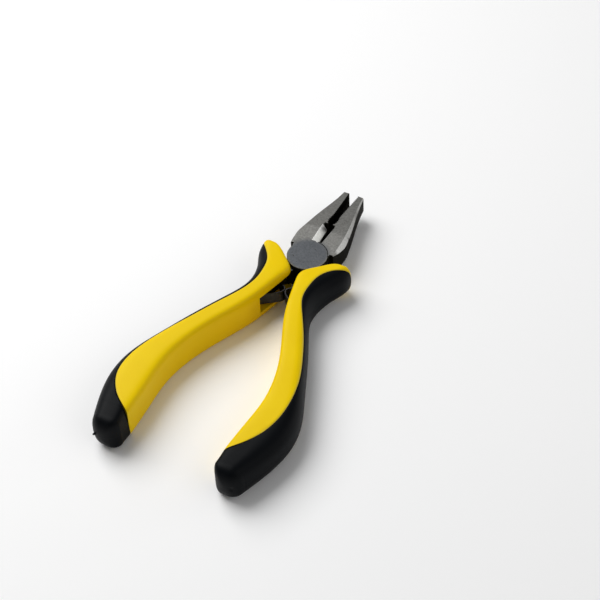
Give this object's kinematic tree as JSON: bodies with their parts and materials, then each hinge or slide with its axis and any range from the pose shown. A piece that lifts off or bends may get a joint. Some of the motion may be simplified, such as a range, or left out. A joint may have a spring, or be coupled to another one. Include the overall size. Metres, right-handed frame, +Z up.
{
  "type": "lineman pliers",
  "caption": "Small lineman pliers with toothed nose, pipe grip, side cutter, bowed opening springs and two-colour moulded grips.",
  "frame": {"origin": "on the pivot axis, in the plane of the head's underside", "axes": "+Y from the pivot to the jaw tips, +Z up through the head along the pivot, +X to the right seen from above"},
  "size_m": [0.0566, 0.1143, 0.0116],
  "materials": {
    "ground_steel": "matte ground",
    "spring_steel": "satin",
    "hard_plastic": "satin moulded",
    "soft_rubber": "soft matte"
  },
  "bodies": {
    "lower": {"lower_half": "ground_steel", "pivot_rivet": "ground_steel", "lower_grip_core": "hard_plastic", "lower_grip_cover": "soft_rubber", "lower_leaf_spring": "spring_steel", "lower_spring_stud": "spring_steel"},
    "upper": {"upper_half": "ground_steel", "upper_grip_core": "hard_plastic", "upper_grip_cover": "soft_rubber", "upper_leaf_spring": "spring_steel", "upper_spring_stud": "spring_steel"}
  },
  "joints": [
    {"name": "plier_pivot", "type": "hinge", "parent": "lower", "child": "upper", "pos_m": [0, 0, 0.004], "axis": [0, 0, 1], "range_deg": [-5.5, 20], "stiffness_Nm_per_rad": 0.6, "deforming": ["upper_leaf_spring", "lower_leaf_spring"]}
  ]
}
